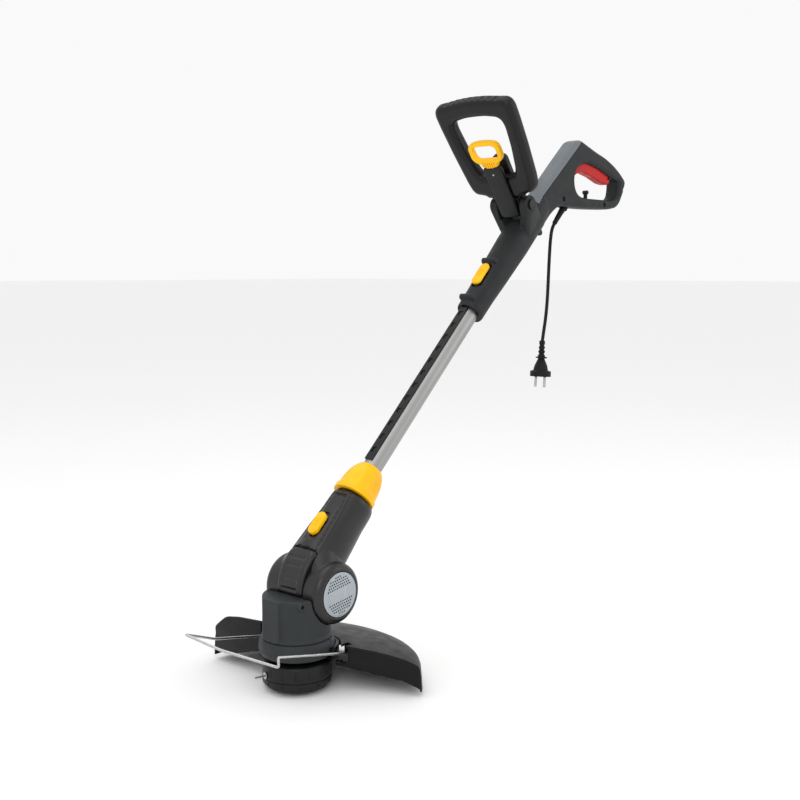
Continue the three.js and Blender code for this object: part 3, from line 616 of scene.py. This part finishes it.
room = [(0, -25.6), (56.5, -25.6), (60, -22.5), (63, -17.5), (65.6, -10), (66.5, -3), (66.5, 3), (65.6, 10),
        (63, 17.5),
        (60, 22.5), (56.5, 25.6), (0, 25.6)]
knuckle_room = placed(turned(room, 160), Matrix.Translation((PX, 0, PZ)) @ Matrix.Rotation(-math.pi / 2, 4,
    "X"))
neck = cut(
    neck, knuckle_room, rod_z(15.3, TUBE_END - 2, 205), cradle, well, slot, *grooves,
    rod_y(32.5, 52.7, 70, PX, PZ, 96), rod_y(32.5, -70, -52.7, PX, PZ, 96))
neck = moulded(neck, 0.9, 3)
for shell, side in zip(halves(neck), ("left", "right")):
    finished(shell, f"neck_moulding_{side}", "neck", "neck", f"neck_shell_{side}", where=SHAFT, angle=0)


def button(width, length, low, high, crown=1.6):
    """A raised stadium button with a crowned top, proud along -X of its frame."""
    r = width / 2
    half = length / 2 - r
    outline = [(r * math.cos(a), half + r * math.sin(a)) for a in (math.pi * k / 20 for k in range(21))]
    outline += [(r * math.cos(a), -half + r * math.sin(a))
                for a in (math.pi * (1 + k / 20) for k in range(21))]
    body = plate(outline, low, high, "yz", crown, steps=5)
    grip = [rod_y(0.8, -r * 0.55, r * 0.55, low - 0.1, z, 16) for z in (-6, -2, 2, 6)]
    return solids(body, *grip)


TILT_BUTTON_S = 86
tilt_button = button(17.3, 37.6, -36.5, -28, 2.4)
finished(tilt_button, "tilt_push", "tilt_button", "yellow", "tilt_button",
         where=SHAFT @ Matrix.Translation((0, 0, TILT_BUTTON_S)), angle=50)

# vent discs: rows of small diamond openings above and below a plain band
DISC_R = 31.9
DISC_ANGLES = [2 * math.pi * k / 96 for k in range(96)]
FIRST_ROW, ROW_STEP, COLUMN_STEP = 10.5, 3.9, 4.3
OPENINGS_WITHIN = 27.4
for side, name in ((-1, "left"), (1, "right")):
    outer = [(DISC_R * math.cos(a), DISC_R * math.sin(a)) for a in DISC_ANGLES]
    openings = []
    for row in range(5):
        height = FIRST_ROW + row * ROW_STEP
        for sign in (-1, 1):
            for col in range(-6, 7):
                x = col * COLUMN_STEP + (COLUMN_STEP / 2 if row % 2 else 0)
                if math.hypot(x, height) < OPENINGS_WITHIN:
                    openings.append([(x + 1.6, sign * height), (x, sign * height + 1.5),
                                     (x - 1.6, sign * height), (x, sign * height - 1.5)])
    low, high = (53.2, 56.5) if side > 0 else (-56.5, -53.2)
    disc = plate(outer, low, high, "xz", 0.35, openings, 2)
    finished(disc, f"vent_disc_cover_{name}", "neck", "silver", f"vent_disc_{name}",
             where=Matrix.Translation((AXLE[0], 0, AXLE[1])) @ Matrix.Rotation(math.radians(-8), 4, "Y"))

# ---------------------------------------------------------------- motor housing and knuckle
housing = lathe([(0, 76.2), (50.3, 76.2), (50.3, 78), (48.7, 82), (48.3, 108), (48.4, 134.6), (47, 136.9),
                 (0, 136.9)], 1.6, 144)
SIDE_BOSS = (-28, 130.2)
boss = rod_y(5.8, -43.4, -26, *SIDE_BOSS, 40, 1.2)
front_pad = plate(rounded([(-17, 77), (17, 77), (17, 136.4), (-17, 136.4)], 1.5, 3, True), -50, -30, "yz", 2)
housing = solids(housing, boss, front_pad)
housing = cut(
    housing,
    rod_y(45, -120, -25, *AXLE, 144), rod_y(45, 25, 120, *AXLE, 144), rod_y(8.4, -60, 60, *AXLE, 48),
    rod_y(3, -60, -34, *SIDE_BOSS, 24))
housing = moulded(housing, 0.9, 3)
for shell, side in zip(halves(housing), ("left", "right")):
    finished(shell, f"motor_shell_{side}", "head", "charcoal", f"motor_housing_{side}", angle=0)

KNUCKLE_FOOT = 137.35  # height of the knuckle cover's flat underside
knuckle_line = []
for degrees, radius in ((181, 47.5), (165, 48), (150, 49.5), (135, 52.5), (120, 56.5), (107, 62.2),
                        (102, 62.6), (99, 58),
                        (95, 46), (80, 42), (60, 42), (40, 42), (20, 42), (-1, 42)):
    angle = math.radians(degrees)
    knuckle_line.append((AXLE[0] + radius * math.cos(angle),
                         max(KNUCKLE_FOOT, AXLE[1] + radius * math.sin(angle))))
knuckle = plate(rounded(knuckle_line, 6, 6, True), -24.9, 24.9, "xz", 4.5, steps=5)
ribs = []
for degrees, radius in ((171, 47.9), (158, 49.1), (145, 51.0), (132, 53.6), (120, 57.0)):
    angle = math.radians(degrees)
    radius += 3.1
    ribs.append(rod_y(4.8, -16, 16, AXLE[0] + radius * math.cos(angle), AXLE[1] + radius * math.sin(angle),
                      40, 2.4))
knuckle_dome = turned([
    (0, -25), (55.6, -25), (58.8, -22), (61.4, -17), (62.4, -10), (62.6, -3), (62.6, 3), (62.4, 10),
    (61.4, 17),
    (58.8, 22), (55.6, 25), (0, 25)], 160)
placed(knuckle_dome, Matrix.Translation((AXLE[0], 0, AXLE[1])) @ Matrix.Rotation(-math.pi / 2, 4, "X"))
knuckle = common(knuckle, block((-100, -30, KNUCKLE_FOOT), (100, 30, 260)), knuckle_dome)
knuckle = cut(knuckle, *ribs, rod_y(8.4, -60, 60, *AXLE, 48))
finished(moulded(knuckle, 0.8, 3), "ribbed_knuckle", "head", "neck", "knuckle_cover", angle=0)

flange = lathe([
    (0, 51.2), (50.6, 51.2), (51.4, 52), (51.4, 55.4), (53.4, 57), (54, 60), (54, 69), (52.6, 73),
    (50.6, 75.6), (0, 75.6)],
    1.2, 160)
dome = placed(lathe([(0, -8), (9, -8), (9, 0), (6, 4.6), (0, 6)], 3, 40),
              Matrix.Translation((19, -44, 70)))
flange = solids(flange, dome)
finished(moulded(flange, 0.9, 2), "flange_moulding", "head", "charcoal", "flange_ring", angle=0)

# ---------------------------------------------------------------- spool
spool_case = ring([
    (46.3, 20.2), (49.2, 20.2), (49.4, 38.6), (48, 42), (44, 44), (12, 44), (12, 41), (46.3, 41)], 0.8, 144)
EYELET_TURN, FLUTE_STEP = 165, 22.5  # degrees about the spool
EYELET = Matrix.Rotation(math.radians(EYELET_TURN), 4, "Z") @ Matrix.Translation((0, 0,
    25.6)) @ Matrix.Rotation(math.pi / 2, 4, "Y")
flutes = []
for i in range(16):
    turn = i * FLUTE_STEP
    if 5 < turn % 360 < 352 and abs(turn - EYELET_TURN) > 14:
        flutes.append(placed(rod_z(1.3, 24, 37, 49.9, 0, 16, 1.0),
                             Matrix.Rotation(math.radians(turn), 4, "Z")))
spool_case = cut(spool_case, *flutes, placed(rod_z(3.5, 40, 60), EYELET))
finished(spool_case, "spool_case", "rotor", "black", "spool_housing")
spool_cap = ring([
    (30.7, 4.2), (41, 4.2), (45.8, 7.6), (46.6, 10.6), (49.3, 11.4), (49.4, 19.6), (44, 19.6), (44, 11),
    (30.7, 7.4)], 0.9, 144)
bites = []
for i in range(12):
    bites.append(placed(block((44.6, -4.2, 3), (47.9, 4.2, 10.8)),
                        Matrix.Rotation(math.radians(i * 30 + 8), 4, "Z")))
    bites.append(placed(block((48.4, -1.6, 13.2), (52, 1.6, 17.6)),
                        Matrix.Rotation(math.radians(i * 30 + 23), 4, "Z")))
finished(cut(spool_cap, *bites), "spool_lid", "rotor", "black", "spool_cap")
knob = lathe([(0, 0), (8, 0), (9, 0.9), (21, 0.9), (22.5, 0), (29.4, 3.6), (30, 5), (30, 10), (11.5, 10),
              (11.5, 28), (0, 28)], 0.9, 128)
finished(knob, "bump_head", "bump_knob", "black", "bump_knob")
eyelet = ring([(1.5, 45.2), (3.2, 45.2), (3.2, 50.1), (5, 50.1), (5, 51.4), (1.5, 51.4)], 0.5, 48)
finished(eyelet, "eyelet_ring", "rotor", "steel", "line_eyelet", where=EYELET)

# ---------------------------------------------------------------- guard
GUARD_STRETCH, GUARD_SHIFT = 1.12, -6
GUARD_NEAR_END = -1.08  # direction of the near end wall, in radians
LUG = (51, 50)  # x and z of the wire guard's pivots
GUARD_TOP = [(55.4, 66), (60, 66.2), (80, 63.6), (100, 61.1), (120, 57.4), (138, 53), (150, 48.6),
             (156.5, 45.4), (159.4, 42.4),
             (160.6, 38.6), (161.6, 28), (162.4, 18), (163, 8.4), (162.6, 8), (160.6, 8), (160.2, 8.4)]
GUARD_UNDER = [(159.4, 18), (158.6, 28), (157.6, 37.4), (155.6, 40.8), (148, 44.8), (137, 49.2), (119, 54.2),
               (100, 57.8),
               (80, 60.2), (60, 62.6), (55.4, 62.4)]
guard_rows = GUARD_TOP + GUARD_UNDER
GUARD_FROM, GUARD_TO, GUARD_STEPS = math.radians(-58.2), math.radians(92.6), 120
vertices, faces = [], []
for i in range(GUARD_STEPS + 1):
    angle = GUARD_FROM + (GUARD_TO - GUARD_FROM) * i / GUARD_STEPS
    for radius, height in guard_rows:
        vertices.append((radius * math.cos(angle), radius * math.sin(angle) * GUARD_STRETCH + GUARD_SHIFT,
                         height))
rows = len(guard_rows)
for i in range(GUARD_STEPS):
    for k in range(rows):
        j = (k + 1) % rows
        faces.append((i * rows + k, i * rows + j, (i + 1) * rows + j, (i + 1) * rows + k))
faces.append(tuple(range(rows)))
faces.append(tuple(GUARD_STEPS * rows + k for k in range(rows)))
guard = outward(mesh_object("guard", vertices, faces))
hub = ring([(41, 47), (60, 47), (60, 65), (55.2, 65), (55.2, 50.6), (41, 50.6)], 0.4, 128)
hub = common(hub, block((14, -90, 0), (90, 90, 90)))
lugs = []
for side in (-1, 1):
    low, high = sorted((side * 50, side * 58.6))
    lugs += [rod_y(5.5, low, high, *LUG, 32, 0.8), block((45.5, low, 50), (56.5, high, 64.4))]
end_wall = plate(rounded([
    (68, 40), (72, 36.5), (120, 22), (149, 14.5), (165, 15), (171, 18), (173.5, 53), (160, 64), (148, 72.5),
    (121, 77.5), (68, 82)], 4, 4, True), -8, -2.6, "yz", 1.2)
near_wall = plate(rounded([
    (75, 63), (75, 43), (56, 42.5), (56, 35.5), (75, 33), (119, 26), (155, 20.5), (176, 12), (181, 9),
    (179.5, 36), (175, 44), (153, 52), (112, 60)],
    3, 3, True), 0.4, 5, "xz", 1.2)
placed(near_wall, Matrix.Rotation(GUARD_NEAR_END, 4, "Z"))
guard = solids(guard, hub, end_wall, near_wall, *lugs)
guard = cut(
    guard, rod_z(55.1, 51, 120, sides=128), block((-20, 56.6, 40), (46, 65.4, 80)),
    block((-20, -65.4, 40), (46, -56.6, 80)),
    rod_y(2.4, 49, 60, *LUG, 24), rod_y(2.4, -60, -49, *LUG, 24),
    block((150, 29.7, 11.7), (156.4, 33.3, 30.3)))
finished(guard, "deflector", "head", "guard", "guard", angle=35)

# ---------------------------------------------------------------- wire guard
WIRE_CORNERS = [
    (51, -52, 50), (51, -61, 50), (-90, -61, 80.8), (-89.6, -61, 66.6), (-126, 14, 82.6), (-148, 61.2, 99.2),
    (-98, 61, 80.6), (-16.5, 61, 64.4), (51, 61, 50), (51, 52, 50)]
wire_line = rounded(WIRE_CORNERS, 3.4, 6)
finished(tube_along(wire_line, 1.9, 20), "plant_guard_wire", "wire_guard", "steel", "wire_guard", angle=60)

# ---------------------------------------------------------------- rear handle
HANDLE_OUTLINE = [
    (543, 696), (590, 742), (640, 787), (678, 820), (694, 824), (748, 807), (779, 799), (808, 788),
    (831, 776),
    (850, 762), (853, 756), (847, 738), (833, 716), (822, 708), (798, 704), (730, 702), (674, 702),
    (632, 704),
    (606, 690), (576, 662)]
LOOP_HOLE = [
    (679, 764), (677, 750), (680, 738), (687, 729), (700, 723), (726, 721), (800, 721), (816, 724),
    (825, 731),
    (828, 745), (828, 757), (800, 763), (760, 776), (718, 784), (694, 778)]
TRIGGER_OUTLINE = [
    (684, 759), (697, 765.5), (713, 767.5), (745, 761.5), (777, 751.5), (797, 749.5), (803, 753), (806, 764),
    (800, 770), (760, 783), (719, 790), (694, 783), (686, 773)]
TRIGGER_PIN = (799, 761)
HANDLE_SCREWS = [(843, 745), (640, 716), (776, 712)]

loop = plate(rounded(HANDLE_OUTLINE, 12, 6, True), -16, 16, "xz", 7.5, [rounded(LOOP_HOLE, 8, 5, True)], 6)


def barrel_section(radius, height, angle):
    """A round section with slightly flattened sides."""
    return radius * (1 - 0.022 * math.cos(4 * angle)) if radius > 1 else radius


barrel = placed(lathe([
    (0, 536.5), (20.8, 536.5), (22.4, 541), (22.8, 580), (24.6, 620), (27.3, 700), (27.3, 770), (22, 806),
    (16, 812),
    (0, 812)], 3, 144, barrel_section), SHAFT)
# the two ears for the front handle run down into the barrel's flanks
ears = []
for side in (-1, 1):
    knob_low, knob_high = sorted((side * 23.2, side * 37.8))
    root_low, root_high = sorted((side * 14, side * 25))
    root = placed(block((-10, root_low, 716), (4, root_high, 768)), SHAFT)
    ears.append(wrapped(rod_y(15.2, knob_low, knob_high, AUX_PIVOT.x, AUX_PIVOT.z, 64, 2), root))
# screw bosses standing a little proud of the barrel, as on the clamshell's seam
bosses = [placed(rod_y(5.4, -15, 15, x, s, 40, 1.5), SHAFT) for x,
          s in ((27.4, 762), (-22.4, 554), (-24, 637))]
handle = cut(solids(loop, barrel, *bosses, *ears), rod_y(24.5, -23, 23, AUX_PIVOT.x, AUX_PIVOT.z, 96))
trigger_room = []
for x, z in TRIGGER_OUTLINE:
    away = (Vector((x, z)) - Vector((745, 768))).normalized() * 1.4
    trigger_room.append((x + away.x, z + away.y + (2.6 if z > 758 else 0)))
handle = cut(
    handle,
    placed(rod_z(19.6, 531, 664, sides=96), SHAFT), placed(rod_z(19, 663, 804, sides=96), SHAFT),
    placed(plate(rounded([(-9.7, 578.5), (9.7, 578.5), (9.7, 630), (-9.7, 630)], 9, 8, True), -40, -15,
                 "yz"), SHAFT),
    plate(rounded(trigger_room, 2, 3, True), -9.6, 9.6),
    block((712, -9, 784), (752, 9, 808)),
    plate([(628, 712), (664, 708), (668, 760), (700, 806), (690, 812), (640, 776), (612, 745)], -11, 11),
    plate([(680, 795), (714, 790), (714, 802), (690, 808)], -9, 9),
    rod_y(6, -42, 42, AUX_PIVOT.x, AUX_PIVOT.z),
    rod_y(2.5, -9, 9, *TRIGGER_PIN, 24),
    placed(rod_z(5.7, -12, 5, sides=32), RELIEF), placed(rod_z(8.3, 3.8, 9, sides=32), RELIEF),
    *[rod_y(4.4, -30, -10.2, x, z, 32) for x, z in HANDLE_SCREWS],
    *[rod_y(2.2, -11, 11, x, z, 24) for x, z in HANDLE_SCREWS])


def cover_slice(gap):
    """The wedge on the upper side of the stem that the pale cover fills."""
    return placed(plate([
        (-60, 786 - gap), (-16 + gap, 786 - gap), (-5 + gap, 950), (-5 + gap, 1000), (-60, 1000)], -40, 40),
        SHAFT)


cover = common(copy_of(handle), cover_slice(0))
handle = cut(handle, cover_slice(0.4))
finished(moulded(cover, 0.9, 3), "pale_cover", "handle", "grey", "handle_top_cover", angle=0)
handle = moulded(handle, 1.1, 4)
for shell, side in zip(halves(handle), ("left", "right")):
    finished(shell, f"handle_moulding_{side}", "handle", "handle", f"handle_shell_{side}", angle=0)

trigger = plate(rounded(TRIGGER_OUTLINE, 5, 5, True), -8.9, 8.9, "xz", 3, steps=5)
trigger = cut(trigger, rod_y(2.4, -12, 12, *TRIGGER_PIN, 32))
finished(trigger, "finger_trigger", "trigger", "red", "trigger", angle=50)
HOOK = (734.5, 733)
hook = solids(rod_y(3.6, -5, 5, *HOOK, 40, 1), plate(rounded(
    [(732, 721.5), (737, 721.5), (737, 733), (732, 733)], 0.6, 2, True), -3, 3, "xz", 0.8))
hook = cut(hook, rod_y(1.4, -9, 9, *HOOK, 24))
finished(hook, "cord_hanger", "handle", "black", "cord_hook")
TELESCOPE_BUTTON_S = 604
slider = button(17.6, 46, -29.5, -22.6, 2.6)
finished(slider, "telescope_push", "telescope_button", "yellow", "telescope_button",
         where=SHAFT @ Matrix.Translation((0, 0, TELESCOPE_BUTTON_S)), angle=50)

# ---------------------------------------------------------------- front handle
LOOP_OUTER = [
    (35, 19), (40, 24), (58, 28), (64.5, 36), (68, 52), (74, 110), (77.5, 160), (78, 182), (75, 191),
    (68, 196.5),
    (50, 198.5), (26, 201.5), (0, 202.5)]
LOOP_INNER = [(22, 60), (34, 62.5), (40, 77), (47, 115), (50.5, 150), (48.5, 161.5), (42, 167), (20, 171),
              (0, 171.5)]


def mirrored(half):
    """A half outline (y, z) with its mirror image in y, as one closed ring."""
    return half + [(-y, z) for y, z in reversed(half) if y > 0]


grip_loop = plate(rounded(mirrored(LOOP_OUTER), 6, 5, True), -12.5, 12.5, "yz", 10.5,
                  [rounded(mirrored(LOOP_INNER), 6, 5, True)], 7)
scallops = []
for y in range(-52, 53, 13):
    scallops.append(rod_x(5.5, -20, 20, y, 206.2 - y * y / 600, 40))
grip_loop = cut(grip_loop, block((8, -20.3, 8), (20, 20.3, 64)), block((-20, -20.3, 8), (-8, 20.3, 64)),
                *scallops)
grip_loop = moulded(grip_loop, 0.9, 3)
front = common(copy_of(grip_loop), block((-40, -200, -10), (-SEAM, 200, 300)))
rear = common(grip_loop, block((SEAM, -200, -10), (40, 200, 300)))
finished(front, "loop_front", "aux_handle", "black", "aux_shell_front", where=AUX, angle=0)
finished(rear, "loop_rear", "aux_handle", "black", "aux_shell_rear", where=AUX, angle=0)

post = solids(
    rod_y(18.6, -22.5, 22.5, 0, 0, 96, 1.2), block((-8, -18, 5), (12, 18, 18.7)),
    plate(rounded(mirrored([(14, 5), (14, 84), (11, 89), (5, 91), (0, 91.4)]), 3, 4, True), 8.4, 20, "yz",
          2.6, steps=4))
post = cut(
    post, block((-30, -30, -30), (-8.3, 30, 30)), rod_y(6.3, -30, 30, 0, 0),
    *[block((19.2, -11, z), (22, 11, z + 1.6)) for z in (70, 74, 78, 82)])
finished(moulded(post, 0.8, 2), "latch_post", "aux_handle", "black", "post_body", where=AUX, angle=0)
plate_half = [(14, -14), (18, -9), (18, 79), (15.5, 83.4), (0, 83.4)]
front_plate = plate(rounded(mirrored(plate_half), 2.5, 4, True), -17, -8.7, "yz", 2.2, steps=4)
front_plate = cut(front_plate, block((-15.7, -8.2, 2), (0, 8.2, 95)))
finished(front_plate, "latch_plate", "aux_handle", "black", "post_front_plate", where=AUX)

rivet = rod_x(1.7, -17.7, -16, 0, 70, 24, 0.6)
finished(rivet, "plate_rivet", "aux_handle", "steel", where=AUX)

RING_OUTER = [(7, 20), (7, 84), (14.5, 84.2), (15.5, 90), (25, 94), (31, 102), (31, 122), (25, 129),
              (12, 131.5), (0, 132)]
RING_INNER = [(17, 99), (22.5, 103), (23.5, 118), (18, 123), (0, 123.6)]
pull_ring = plate(rounded(mirrored(RING_OUTER), 4, 5, True), -18.6, -7, "yz", 3.4,
                  [rounded(mirrored(RING_INNER), 4, 5, True)], 5)
pull_ring = cut(
    pull_ring, block((-30, -20, 0), (-15.2, 20, 84)), block((-11, -20, 0), (0, 20, 84)),
    *[block((-20, y - 0.9, 84.6), (-17, y + 0.9, 94)) for y in (-10.8, -6.5, -2.2, 2.2, 6.5, 10.8)])
finished(pull_ring, "ring_pull", "pull_ring", "yellow", "pull_ring", where=AUX, angle=50)

# ---------------------------------------------------------------- carried-over parts
NODE_FINISHES = {
    "steel": (
        "trigger_spring", "telescope_spring", "tilt_button_spring", "latch_spring", "tilt_axle", "motor_can",
        "upper_bearing",
        "lower_bearing", "motor_shaft", "bump_spring", "guard_screw_1", "guard_screw_2", "line_cutter"),
    "black": ("power_switch", "tube_guide_sleeve", "notched_strip", "cooling_fan", "line_spool"),
    "dark_steel": ("handle_screw_1", "handle_screw_2", "handle_screw_3", "trigger_pin", "pivot_bolt",
                   "pivot_nut"),
    "rubber": ("core_cable",),
    "copper": ("armature",),
    "line": ("cutting_line",),
}
for finish, names in NODE_FINISHES.items():
    for name in names:
        node = nodes[name]
        node.data.materials.clear()
        node.data.materials.append(look[finish])

# ---------------------------------------------------------------- floor and light
floor_shader = Shader("studio_floor", (0.92, 0.92, 0.92), 0.8)
floor_shader.link(floor_shader.bump(floor_shader.noise(40, 3), 0.0003, 0.15),
                  floor_shader.shader.inputs["Normal"])
floor_corners = [(x * FLOOR_HALF, y * FLOOR_HALF, FLOOR_Z) for x, y in ((-1, -1), (1, -1), (1, 1), (-1, 1))]
floor = mesh_object("floor", floor_corners, [(0, 1, 2, 3)])
floor.data.materials.append(floor_shader.material)

world = bpy.data.worlds.new("studio")
world.use_nodes = True
world.node_tree.nodes["Background"].inputs["Color"].default_value = (1, 1, 1, 1)
world.node_tree.nodes["Background"].inputs["Strength"].default_value = 0.95
bpy.context.scene.world = world
bpy.context.scene.view_settings.view_transform = "Standard"


def lamp(name, place, aim, size, power):
    light = bpy.data.lights.new(name, "AREA")
    light.shape = "RECTANGLE"
    light.size, light.size_y = size
    light.energy = power
    obj = bpy.data.objects.new(name, light)
    obj.location = place
    obj.rotation_euler = (Vector(aim) - Vector(place)).to_track_quat("-Z", "Y").to_euler()
    bpy.context.scene.collection.objects.link(obj)


lamp("overhead", (-0.9, 0.1, 2.0), (-0.4, 0, -0.4), (2.0, 2.0), 14)
lamp("key", (-2.6, -1.6, 1.2), (-0.5, 0, -0.35), (1.2, 1.6), 14)
lamp("rim", (1.2, -1.9, 0.6), (-0.3, 0, -0.3), (0.8, 1.6), 6)
